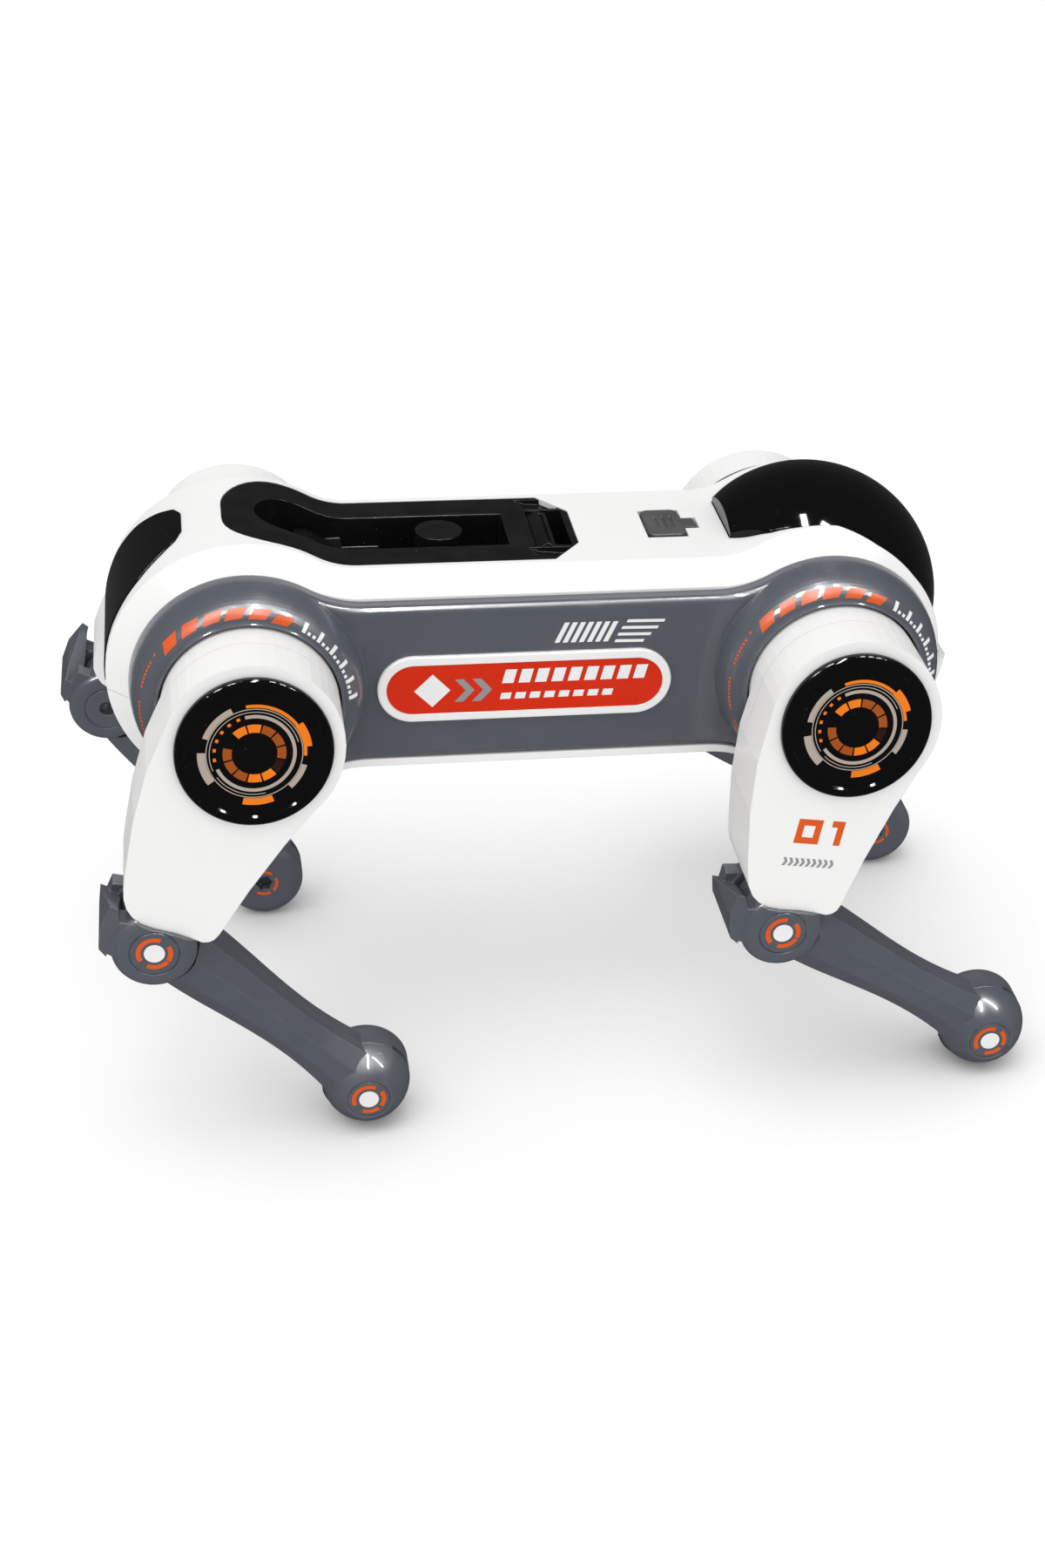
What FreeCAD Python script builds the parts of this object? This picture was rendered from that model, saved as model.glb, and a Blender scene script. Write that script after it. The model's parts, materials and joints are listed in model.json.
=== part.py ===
import FreeCAD, Part
import math
import os

# Four-legged robot toy.  Built in its body frame: millimetres, +X to the nose, +Y to the
# left, +Z up, hip axes at Z = 0 and X = +-HIP_X.  At the end everything is pitched nose
# down about Y and dropped so that the four feet stand on Z = 0.
V = FreeCAD.Vector

# ---------------------------------------------------------------- driving dimensions
HIP_X = 111.0            # hip axis to the middle of the body
PITCH = 2.25             # nose-down lean of the body in the stored stance, degrees
CROWN_R = 53.0           # radius of the white shell over each hip
CROWN_H = 41.5           # half height of the white shell between the hips
SIDE_Y = 40.0            # where the white shell ends and the side panel begins
EDGE_CUT = 8.5           # bevel between the crown and the side
BLEND_R = 31.5           # hollow blend between the hip dome and the waist
WALL = 2.4               # shell wall
SEAM_Z = -5.0            # joint between upper and lower shell
GAP = 0.1                # assembly gap between fixed pieces
LIP_Y = 61.5             # outer face of the collar the leg turns in
LIP_R = 33.9             # collar bore
HUB_R = 33.2             # leg hub that turns in the collar
THIGH_L = 88.0           # hip axis to knee axis
SHIN_L = 112.6           # knee axis to foot axis
LEAN = 5.6               # outward slope of the thigh's outer face, degrees
FACE_Y = 92.3            # thigh outer face at the hip axis
CAP_R = 28.8             # round cover on the hip
KNEE_Y = 83.0            # middle plane of the knee
CHEEK_R = 16.0           # knee yoke cheek
STRAP_TOP = -76.0        # top of the knee strap at its outer end, thigh frame
STRAP_SLOPE = 20.0       # slope of the strap's top towards the inner side, degrees
KNUCKLE_R = 13.5         # shin knuckle between the cheeks
PIN_R = 2.0              # knee pin
PIN_CLEAR = 0.05         # running clearance on pins, radial
SPIGOT_R = 6.0           # thigh spigot in the hip drive
BALL_R = 17.5            # ball foot
TREAD_R = 17.9           # rubber tread on the ball
BALL_Y = 80.5            # middle plane of the ball

STAND_H = 155.39         # ball centres below the middle of the body in the stored stance

# end of the body, side, and thigh angle back from vertical in the body frame
LEGS = {
    "rear_right": (-1, -1, 26.4),
    "front_right": (1, -1, 14.8),
    "rear_left": (-1, 1, 40.3),
    "front_left": (1, 1, 17.0),
}


def shin_angle(sx, thigh_deg):
    """Shin angle below horizontal that puts the ball centre STAND_H down."""
    p = math.radians(PITCH)
    t = math.radians(thigh_deg)
    knee_x = sx * HIP_X - THIGH_L * math.sin(t)
    left = STAND_H - knee_x * math.sin(p) - THIGH_L * math.cos(t) * math.cos(p)
    return math.degrees(math.asin(left / SHIN_L) - p)


TRAY_X0 = -118.0         # accessory bay, rear end
TRAY_X1 = 17.5           # accessory bay, front end
TRAY_W = 28.5            # accessory bay, half width
TRAY_FLOOR = 22.0        # deep pocket floor
RIM_IN = 14.2            # accessory bay, half width of its hollow
REAR_BOWL_X = -91.5      # middle of the hollow's round rear end
POCKET = (-57.0, -9.0)   # deep pocket, rear and front
POST_X = -35.0           # accessory post
POST_R = 9.0
POST_TOP = 41.8


# ---------------------------------------------------------------- shape helpers
def box(x0, x1, y0, y1, z0, z1):
    return Part.makeBox(x1 - x0, y1 - y0, z1 - z0, V(x0, y0, z0))


def rod(r, y0, y1, x=0.0, z=0.0):
    """Cylinder along Y."""
    return Part.makeCylinder(r, y1 - y0, V(x, y0, z), V(0, 1, 0))


def post(r, z0, z1, x=0.0, y=0.0):
    """Cylinder along Z."""
    return Part.makeCylinder(r, z1 - z0, V(x, y, z0), V(0, 0, 1))


def prism_xz(pts, y0, y1):
    """Polygon in the side view, extruded along Y."""
    wire = Part.makePolygon([V(x, y0, z) for x, z in pts] + [V(pts[0][0], y0, pts[0][1])])
    return Part.Face(wire).extrude(V(0, y1 - y0, 0))


def prism_xy(pts, z0, z1):
    """Polygon in plan, extruded along Z."""
    wire = Part.makePolygon([V(x, y, z0) for x, y in pts] + [V(pts[0][0], pts[0][1], z0)])
    return Part.Face(wire).extrude(V(0, 0, z1 - z0))


def arc(cx, cz, r, a0, a1, y):
    pts = [V(cx + r * math.cos(math.radians(a)), y, cz + r * math.sin(math.radians(a)))
           for a in (a0, (a0 + a1) / 2, a1)]
    return Part.Arc(pts[0], pts[1], pts[2]).toShape()


def dogbone(r, h, rf, y0, y1):
    """Two discs of radius r on the hip axes, joined by a waist of half height h."""
    d = math.sqrt((r + rf) ** 2 - (h + rf) ** 2)
    a = math.degrees(math.atan2(h + rf, d))
    xf = HIP_X - d
    edges = [
        arc(HIP_X, 0, r, -(180 - a), 180 - a, y0),
        arc(xf, h + rf, rf, -a, -90, y0),
        Part.makeLine(V(xf, y0, h), V(-xf, y0, h)),
        arc(-xf, h + rf, rf, -90, a - 180, y0),
        arc(-HIP_X, 0, r, a, 360 - a, y0),
        arc(-xf, -h - rf, rf, 180 - a, 90, y0),
        Part.makeLine(V(-xf, y0, -h), V(xf, y0, -h)),
        arc(xf, -h - rf, rf, 90, a, y0),
    ]
    wire = Part.Wire(Part.__sortEdges__(edges))
    return Part.Face(wire).extrude(V(0, y1 - y0, 0))


def rounded(shape, radius, pick):
    """Fillet the edges that pick() accepts; a smaller radius is used where needed."""
    edges = [e for e in shape.Edges if pick(e)]
    for r in (radius, radius * 0.7, radius * 0.45):
        try:
            out = shape.makeFillet(r, edges)
            if out.isValid() and out.Volume > 0:
                return out
        except Exception:
            pass
    return shape


def spin_y(profile):
    """Closed profile of (y, radius) pairs turned about the Y axis."""
    wire = Part.makePolygon([V(r, y, 0) for y, r in profile + profile[:1]])
    return Part.Face(wire).revolve(V(0, 0, 0), V(0, 1, 0), 360)


def moved(shape, x=0.0, y=0.0, z=0.0):
    out = shape.copy()
    out.translate(V(x, y, z))
    return out


def flip_y(shape):
    return shape.mirror(V(0, 0, 0), V(0, 1, 0))


def clean(shape):
    """Largest pieces only, as one solid where possible."""
    solids = [s for s in shape.Solids if s.Volume > 0.5]
    out = solids[0] if len(solids) == 1 else Part.makeCompound(solids)
    try:
        return out.removeSplitter()
    except Exception:
        return out


def fuse(first, *rest):
    return first.fuse(list(rest))


# ---------------------------------------------------------------- body shell
crown = dogbone(CROWN_R, CROWN_H, BLEND_R, -SIDE_Y, SIDE_Y)
end_edges = [e for e in crown.Edges
             if abs(abs(e.BoundBox.YMin) - SIDE_Y) < 0.01 and e.BoundBox.YLength < 0.01]
crown = crown.makeChamfer(EDGE_CUT, end_edges)
hollow = dogbone(CROWN_R - WALL, CROWN_H - WALL, BLEND_R + WALL, -SIDE_Y + WALL, SIDE_Y - WALL)
end_edges = [e for e in hollow.Edges
             if abs(abs(e.BoundBox.YMin) - SIDE_Y + WALL) < 0.01 and e.BoundBox.YLength < 0.01]
hollow = hollow.makeChamfer(EDGE_CUT - 0.9, end_edges)
shell = crown.cut(hollow)

# side openings for the hip drives and the flange that the side panels stand on
for sx in (-1, 1):
    shell = shell.cut(rod(27.6, -60, 60, sx * HIP_X))
rim = dogbone(47.6, 35.4, BLEND_R + 6.2, 36.6, 46.4)
rim = rim.cut(dogbone(44.8, 32.3, BLEND_R + 9.1, 36.0, 47.0))
rim = rim.common(box(-150, 150, 30, 50, -60, -24))
shell = shell.fuse([rim, flip_y(rim)])

TAIL_PLAN = [(-133.5, -8), (-133.5, 8), (-136, 14), (-142, 19), (-150, 24), (-158, 26.5),
             (-175, 27), (-175, -27), (-158, -26.5), (-150, -24), (-142, -19), (-136, -14)]
VISOR_PLAN = [(76.4, -17), (76.4, 17), (90, 26.5), (100, 29.3), (114, 31), (130, 34.6),
              (145, 36.6), (180, 37.4), (180, -37.4), (145, -36.6), (130, -34.6),
              (114, -31), (100, -29.3), (90, -26.5)]


def grown(plan, g, cx):
    """The plan outline a little larger all round about the point (cx, 0)."""
    out = []
    for x, y in plan:
        d = math.hypot(x - cx, y)
        out.append((x + g * (x - cx) / d, y + g * y / d))
    return out


CUT_Z = SEAM_Z + 1.0
upper = shell.common(box(-200, 200, -60, 60, SEAM_Z + GAP / 2, 90))
lower = shell.common(box(-200, 200, -60, 60, -90, SEAM_Z - GAP / 2))
upper = upper.cut(prism_xy(grown(VISOR_PLAN, 0.3, 120), CUT_Z, 90))
upper = upper.cut(prism_xy(grown(TAIL_PLAN, 0.3, -150), CUT_Z, 90))


def tray_plan(g):
    w = TRAY_W + g
    x0 = TRAY_X0 - g
    x1 = TRAY_X1 + g
    pts = []
    for k in range(0, 10):
        a = math.radians(90 + 10 * k)
        pts.append((x0 + 22 + 22 * math.cos(a), w - 22 + 22 * math.sin(a)))
    for k in range(0, 10):
        a = math.radians(180 + 10 * k)
        pts.append((x0 + 22 + 22 * math.cos(a), -(w - 22) + 22 * math.sin(a)))
    pts += [(x1 - 11, -w), (x1, -w + 14), (x1, w - 14), (x1 - 11, w)]
    return pts


upper = upper.cut(prism_xy(tray_plan(0.15), 10, 90))
PORT = (45.6, 61.0, 12.0)        # charge port recess: rear x, front x, half width
upper = upper.cut(box(PORT[0] - 0.3, PORT[1] + 0.3, -PORT[2] - 0.3, PORT[2] + 0.3, 30, 60))
upper = upper.cut(box(PORT[1], PORT[1] + 6.0, -4.8, 4.8, 30, 60))

# battery hatch, switch slot, loudspeaker slots and screw holes in the belly
HATCH = (-42.0, 42.0, 24.0)
lower = lower.cut(box(HATCH[0] - 0.3, HATCH[1] + 0.3, -HATCH[2] - 0.3, HATCH[2] + 0.3, -60, -30))
SWITCH = (58.0, 70.0, 4.0)
lower = lower.cut(box(SWITCH[0], SWITCH[1], -SWITCH[2], SWITCH[2], -60, -30))
for k in range(5):
    lower = lower.cut(box(-78 + 5 * k, -76 + 5 * k, -11, 11, -60, -30))
SCREW_AT = [(sx * 74.0, sy * 29.0) for sx in (-1, 1) for sy in (-1, 1)]
for x, y in SCREW_AT:
    tube = post(4.2, -52, SEAM_Z - 1, x, y)
    lower = lower.fuse(tube.common(crown.fuse(box(-1, 1, -1, 1, -1, 1))))
    lower = lower.cut(post(2.9, -60, -32, x, y)).cut(post(1.65, -60, 0, x, y))

# ---------------------------------------------------------------- side panels
DOME_STEPS = 14          # facets over the collar's rounded shoulder
dome = [(SIDE_Y + GAP, 44.5)]
for k in range(1, DOME_STEPS + 1):
    t = math.radians(90.0 * k / DOME_STEPS)
    dome.append((SIDE_Y + (LIP_Y - SIDE_Y) * math.sin(t) * 0.985,
                 35.2 + 9.3 * math.cos(t)))
dome += [(LIP_Y, 34.9), (LIP_Y - 0.5, LIP_R + 0.15), (LIP_Y - 1.4, LIP_R), (48.6, LIP_R),
         (48.6, 14.0), (46.6, 14.0), (46.6, 37.4), (SIDE_Y + GAP, 40.6)]
dome = spin_y(dome)
plate = dogbone(44.5, 32.0, 40.0, SIDE_Y + GAP, 47.0)
plate = rounded(plate, 3.0, lambda e: e.BoundBox.YLength < 0.01 and e.BoundBox.YMin > 46.9)
plate = plate.cut(dogbone(42.2, 29.7, 42.3, SIDE_Y - 1, 44.8))
plate = plate.common(box(-98, 98, 30, 60, -60, 60))
for sx in (-1, 1):
    plate = plate.cut(rod(41.0, 30, 60, sx * HIP_X))
panel = plate.fuse([moved(dome, -HIP_X), moved(dome, HIP_X)])
# raised pill on the panel that carries the badge
BADGE = (-6.5, -1.7, 56.4, 13.8)     # centre x, centre z, half length, half height


def pill(half_l, half_h, y0, y1, cx, cz):
    a = half_l - half_h
    parts = [rod(half_h, y0, y1, cx - a, cz), rod(half_h, y0, y1, cx + a, cz)]
    return box(cx - a, cx + a, y0, y1, cz - half_h, cz + half_h).fuse(parts)


side_panel_left = clean(panel)
badge_outer = pill(BADGE[2], BADGE[3], 47.0 + 0.02, 48.9, BADGE[0], BADGE[1])
badge_outer = rounded(badge_outer.removeSplitter(), 0.9,
                      lambda e: e.BoundBox.YLength < 0.01 and e.BoundBox.YMin > 48.8)
badge_outer = badge_outer.cut(pill(BADGE[2] - 3.4, BADGE[3] - 3.4, 48.5, 50, BADGE[0], BADGE[1]))
badge_outer = clean(badge_outer)

# ---------------------------------------------------------------- visor and tail cover
VC = V(112.0, 0, 10.0)
visor = Part.makeSphere(52.4, VC).cut(Part.makeSphere(50.2, VC))
visor = visor.common(prism_xy(VISOR_PLAN, CUT_Z + 0.2, 90))
visor_wall = Part.makeSphere(52.4, VC).common(prism_xy(VISOR_PLAN, 39.0, 90))
visor = clean(visor.fuse(visor_wall.common(box(76.0, 78.8, -17, 17, 39.0, 90))))
tail = rod(CROWN_R + 0.6, -27.5, 27.5, -HIP_X).cut(rod(CROWN_R - 1.8, -40, 40, -HIP_X))
tail = tail.common(prism_xy(TAIL_PLAN, CUT_Z + 0.2, 90))
tail = clean(tail)
light = moved(box(0, 4, -22, 22, 0, 12), 148.0, 0, 4.0)
light = clean(light.fuse([rod(2.4, -18 + 9 * k, -15 + 9 * k, 152.0, 10.0) for k in range(5)]))

# ---------------------------------------------------------------- accessory bay
tray_out = prism_xy(tray_plan(0.0), TRAY_FLOOR - 2.0, 60)
skin = dogbone(CROWN_R - 0.2, CROWN_H - 0.2, BLEND_R + 0.2, -SIDE_Y, SIDE_Y)
tray = tray_out.common(skin)
# the hollow leaves a broad rim flush with the shell; its rear end is a rounded bowl
hollow_rear = post(RIM_IN, 33.0, 60, REAR_BOWL_X, 0).fuse(
    box(REAR_BOWL_X, POCKET[0], -RIM_IN, RIM_IN, 33.0, 60))
tray = tray.cut(hollow_rear.removeSplitter())
# deep pocket with the central post, and the step behind it
tray = tray.cut(box(POCKET[0], POCKET[1], -RIM_IN, RIM_IN, TRAY_FLOOR, 60))
tray = tray.cut(box(POCKET[0] - 15.0, POCKET[0] + 1.0, -RIM_IN, RIM_IN, 29.0, 60))
tray = tray.fuse([post(POST_R, TRAY_FLOOR - 1, POST_TOP, POST_X, 0),
                  box(-101, -93, 4, 11, 32, 38.0),
                  prism_xz([(-90, 32.0), (-90, 39.0), (-86, 39.0), (-73, 32.0)], -5, 11),
                  box(-68, -60, -9, 1, 28, 31.5)])
# latch well at the front of the bay
LATCH = (1.0, 14.5, 16.0)
tray = tray.cut(box(LATCH[0] - 0.4, LATCH[1] + 0.4, -LATCH[2] - 0.4, LATCH[2] + 0.4, 26, 60))
# shallow sloping seats in the rim on both sides of the latch
for side in (-1, 1):
    y0, y1 = sorted((side * (LATCH[2] + 1.6), side * (TRAY_W - 2.0)))
    tray = tray.cut(prism_xz([(-3.0, 41.6), (2.0, 39.6), (14.0, 38.4), (14.0, 60), (-3.0, 60)],
                             y0, y1))
# the rear of the bay is shallower, because the hip drives lie under it
tray = tray.cut(box(-130, -79, -40, 40, 0, 30.4))
tray = clean(tray.common(prism_xy(tray_plan(0.0), 0, 90)))
latch = prism_xz([(LATCH[0] + 0.4, 26.6), (LATCH[0] + 0.4, 39.5), (LATCH[0] + 4.6, 41.8),
                  (LATCH[1] - 5.5, 40.4), (LATCH[1] - 3.2, 33.0), (LATCH[1] - 3.2, 26.6)],
                 -15.2, 15.2)
latch = latch.cut(prism_xz([(5.6, 42), (6.8, 39.6), (8.0, 42)], -13, 13))
latch = clean(latch)

# ---------------------------------------------------------------- charge port and flap
socket = box(PORT[0] - 0.2, PORT[1] + 6.0, -PORT[2] - 0.2, PORT[2] + 0.2, 32.0, 38.9)
socket = socket.cut(box(PORT[0] + 2, PORT[1] - 2, -PORT[2] + 2, PORT[2] - 2, 36.4, 60))
socket = socket.cut(rod(1.6, -4.4, 4.4, 53.3, 34.0)).cut(box(49, 57.6, -4.6, 4.6, 33.2, 40))
socket = clean(socket.common(box(0, 100, -30, 30, 32.0, 38.9)))
flap = box(PORT[0] + 0.2, PORT[1] - 0.3, -PORT[2] + 0.3, PORT[2] - 0.3, 39.4, 42.3)
flap = rounded(flap, 3.2, lambda e: e.BoundBox.ZLength > 2 and e.BoundBox.XLength < 0.01
               and e.BoundBox.YLength < 0.01)
flap = rounded(flap, 0.7, lambda e: e.BoundBox.ZLength < 0.01 and e.BoundBox.ZMin > 42.2)
flap = flap.fuse([box(PORT[1] - 3, PORT[1] + 4.2, -4.0, 4.0, 39.6, 41.6),
                  rod(1.0, -4.0, 4.0, PORT[1] + 4.2, 40.6)])
for k in range(3):
    flap = flap.cut(box(50 + 3 * k, 51.2 + 3 * k, -5, 5, 41.9, 43))
FLAP_AT = (PORT[1] + 4.2, 40.6)
flap = clean(flap)

# ---------------------------------------------------------------- inner pieces and hatch
board = clean(box(-36, 36, -22, 22, 14.0, 15.6).fuse([
    box(-20, -8, -8, 4, 15.6, 18.2), box(6, 22, -16, 0, 15.6, 18.6),
    box(-32, -26, 8, 18, 15.6, 19.0), post(3.0, 15.6, 19.4, 28, 12)]))
battery = fuse(rod(9.0, -20, 20, -24, -22), rod(9.0, -20, 20, -4, -22), rod(9.0, -20, 20, 16, -22))
battery = clean(battery.fuse(box(-33, 25, -18, 18, -14.2, -12.4)))
door = box(HATCH[0], HATCH[1], -HATCH[2], HATCH[2], -CROWN_H, -CROWN_H + 2.2)
DOOR_SCREW_X = HATCH[1] - 5.0
door = door.cut(post(1.7, -60, 0, DOOR_SCREW_X, 0))
door = door.cut(post(3.0, -60, -CROWN_H + 1.5, DOOR_SCREW_X, 0))
for k in range(5):
    door = door.cut(box(HATCH[0] + 6 + 3 * k, HATCH[0] + 7.5 + 3 * k, -9, 9, -60, -CROWN_H + 0.7))
door = clean(door)
speaker = clean(post(13.5, -38.6, -34, -68, 0).fuse(post(8, -34, -29, -68, 0)))


def screw(x, y, z, length):
    """Countersunk cross-head screw driven up from below, head at the bottom."""
    s = post(2.7, z, z + 1.8, x, y).fuse(post(1.4, z + 1.7, z + length, x, y))
    return s.cut(box(x - 1.7, x + 1.7, y - 0.35, y + 0.35, z - 1, z + 0.9)).cut(
        box(x - 0.35, x + 0.35, y - 1.7, y + 1.7, z - 1, z + 0.9))


screws = [screw(x, y, -34.6, 16) for x, y in SCREW_AT]
screws.append(screw(DOOR_SCREW_X, 0, -CROWN_H - 0.4, 8))
knob = box(SWITCH[0] + 0.6, SWITCH[0] + 6.6, -3.4, 3.4, -CROWN_H - 0.6, -37.6)
knob = clean(knob.fuse(box(SWITCH[0] - 2, SWITCH[0] + 9.2, -6, 6, -38.4, -36.4)))


# ---------------------------------------------------------------- hip drive, left side
def drive(sx):
    gear = rod(26.8, 20.0, 43.2)
    gear = gear.fuse(rod(11.0, 43.1, 46.2))
    gear = gear.cut(rod(SPIGOT_R + PIN_CLEAR, 34.0, 60))
    motor = Part.makeCylinder(9.5, 34, V(-sx * 10, 10.4, 0), V(-sx, 0, 0))
    return clean(gear.fuse([motor, box(-12, 12, 1, 20.2, -12, 12)]))


# ---------------------------------------------------------------- one leg, left side (+Y)
# local frame: hip axis on Y, thigh hanging down -Z, knee at Z = -THIGH_L, shin forward
REAR = [(-33.2, 2), (-32.2, -22), (-28.6, -42), (-23.4, -60.5), (-21.0, -68.0),
        (-19.2, -72.0), (-16.6, -75.4), (-13.4, -77.6)]
FRONT = [(16.9, -77.0), (18.4, -75.4), (19.3, -72.6), (22.0, -52), (26.2, -30), (30.4, -13.5)]
SOLE = [(-9.6, -78.9), (-4.0, -78.9), (4.0, -77.9), (10.0, -77.8), (14.8, -77.9)]


def thigh_outline(g, y0, y1):
    """Side outline of the thigh grown inwards by g, extruded along Y."""
    r = HUB_R - g
    n = 24
    a1 = math.atan2(2, -33.2)
    a0 = math.atan2(-13.5, 30.4)
    pts = [(r * math.cos(a0 + (a1 - a0) * k / n), r * math.sin(a0 + (a1 - a0) * k / n))
           for k in range(n + 1)]
    pts += [(x + g, z) for x, z in REAR[1:]]
    if g == 0:
        pts += SOLE
    else:
        pts += [(REAR[-1][0] + g, -90), (FRONT[0][0] - g, -90)]
    pts += [(x - g, z) for x, z in FRONT[:-1]]
    return prism_xz(pts, y0, y1)


def lean_cut(offset):
    """Everything outside the sloping outer face, moved out by offset."""
    b = box(-80, 80, 0, 60, -160, 80)
    b.rotate(V(0, 0, 0), V(1, 0, 0), LEAN)
    return moved(b, 0, FACE_Y + offset, 0)


SPLIT_Y = 72.0
thigh = thigh_outline(0, SPLIT_Y, 112).cut(lean_cut(0))
thigh = rounded(thigh, 4.2, lambda e: e.BoundBox.YMin > SPLIT_Y + 5
                and (abs(e.BoundBox.YMax - FACE_Y + math.tan(math.radians(LEAN))
                         * e.BoundBox.ZMin) < 0.6))
inside = thigh_outline(2.2, SPLIT_Y - 1, 112).cut(lean_cut(-2.4))
thigh_outer = thigh.cut(inside)
thigh_outer = thigh_outer.fuse([rod(4.0, SPLIT_Y, 90.5, 0, 0).common(thigh),
                                rod(3.2, SPLIT_Y, 95.5, 12, -44).common(thigh)])
# seat for the round cover
seat = rod(26.0, -1.4, 6)
seat.rotate(V(0, 0, 0), V(1, 0, 0), LEAN)
thigh_outer = clean(thigh_outer.cut(moved(seat, 0, FACE_Y, 0)))

thigh_in = thigh_outline(0, 64.0, SPLIT_Y - GAP / 2)
thigh_in = thigh_in.cut(thigh_outline(2.2, 66.0, 80))
hub = rod(HUB_R, 50.6, 64.5).cut(rod(HUB_R - 2.4, 52.8, 64.4))
hub = hub.fuse(rod(9.0, 48.9, 66)).fuse(rod(SPIGOT_R, 36.0, 49.5))
thigh_in = thigh_in.fuse(hub)
thigh_in = thigh_in.cut(rod(1.3, 55, 70, 12, -44)).cut(rod(1.3, 55, 70, -8, -52))
thigh_inner = clean(thigh_in)
thigh_screws = []
for x, z in ((12, -44), (-8, -52)):
    head = Part.makeCylinder(2.6, 1.6, V(x, 62.3, z), V(0, 1, 0))
    stem = Part.makeCylinder(1.2, 8.0, V(x, 63.8, z), V(0, 1, 0))
    s = head.fuse(stem).cut(box(x - 1.6, x + 1.6, 60, 63.2, z - 0.35, z + 0.35))
    thigh_screws.append(s.cut(box(x - 0.35, x + 0.35, 60, 63.2, z - 1.6, z + 1.6)))

cap_ring = [(-1.2, 0.001), (-1.2, 25.6), (0.1, 25.6), (0.1, CAP_R), (1.3, CAP_R)]
for k in range(1, 8):
    t = math.radians(90 * k / 7)
    cap_ring.append((1.3 + 1.8 * math.sin(t), CAP_R - 2.0 + 2.0 * math.cos(t)))
cap_ring += [(2.9, 25.4), (2.1, 24.6), (2.1, 0.001)]
cap = spin_y([(y, max(r, 0.0)) for y, r in cap_ring])
cap.rotate(V(0, 0, 0), V(1, 0, 0), LEAN)
hip_cap = moved(cap, 0, FACE_Y, 0)

# knee yoke: two cheeks, a strap behind the leg and a tongue inside the thigh
K = -THIGH_L


def cheek(y0, y1, outer_is_high):
    c = rod(CHEEK_R, y0, y1, 0, K)
    edge = y1 if outer_is_high else y0
    c = rounded(c, 4.2, lambda e: abs(e.BoundBox.YMin - edge) < 0.01 and e.BoundBox.YLength < 0.01)
    ring = rod(9.6, edge - 0.5, edge + 0.5, 0, K).cut(rod(8.9, edge - 1, edge + 1, 0, K))
    return c.cut(ring)


near = cheek(90.2, 102.0, True)
far = cheek(65.6, 75.8, False)
strap = prism_xz([(-15.4, -97.0), (-19.2, -95.0), (-22.4, -86.0), (-22.6, -72.5), (-20.2, -70.4),
                  (-19.2, -77.0), (-15.5, -83.5)], 67.5, 100.4)
strap = rounded(strap, 1.6, lambda e: e.BoundBox.XMax < -18 and e.BoundBox.YLength > 10)
slope = box(-40, 0, -60, 20, 0, 60)
slope.rotate(V(0, 0, 0), V(1, 0, 0), STRAP_SLOPE)
strap = strap.cut(moved(slope, 0, 100.4, STRAP_TOP))
wing = [(-18.6, -95.4), (-19.4, -82.0), (-6.0, -79.0), (-6.0, -97.0)]
yoke = near.fuse([far, strap, prism_xz(wing, 91.4, 100.4), prism_xz(wing, 67.5, 74.6)])
arm_near = box(-10, 10, 90.4, 95.8, K, -56)
arm_far = box(-10, 10, 72.2, 75.6, K, -56)
tongue = box(-10, 10, 72.2, 95.8, -66, -56)
yoke = yoke.fuse([arm_near, arm_far, tongue])
solid_thigh = thigh_outline(0, 63.5, 112).cut(inside)
yoke = yoke.cut(solid_thigh)
yoke = yoke.cut(rod(PIN_R, 60, 100.2, 0, K)).cut(rod(3.3, 60, 69.4, 0, K))
yoke = yoke.cut(rod(KNUCKLE_R + 1.2, 76.0, 90.0, 0, K))
knee_yoke = clean(yoke)
knee_pin = rod(PIN_R, 69.6, 100.1, 0, K).cut(rod(1.0, 69.0, 70.6, 0, K))

# shin: built along +X from the knee axis, then turned to its angle
STATIONS = [(6, 15.4, 11.6, 83.0), (20, 14.8, 11.9, 82.8), (42, 12.6, 10.8, 82.2),
            (66, 10.6, 9.4, 81.6), (86, 10.4, 9.8, 81.0), (104, 12.6, 11.8, 80.6)]


def section(a, w, h, y):
    pts = [(0.55, 1.0), (1.0, 0.42), (1.0, -0.36), (0.58, -1.0),
           (-0.58, -1.0), (-1.0, -0.36), (-1.0, 0.42), (-0.55, 1.0)]
    v = [V(a, y + w * p, h * q) for p, q in pts]
    return Part.makePolygon(v + v[:1])


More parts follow.
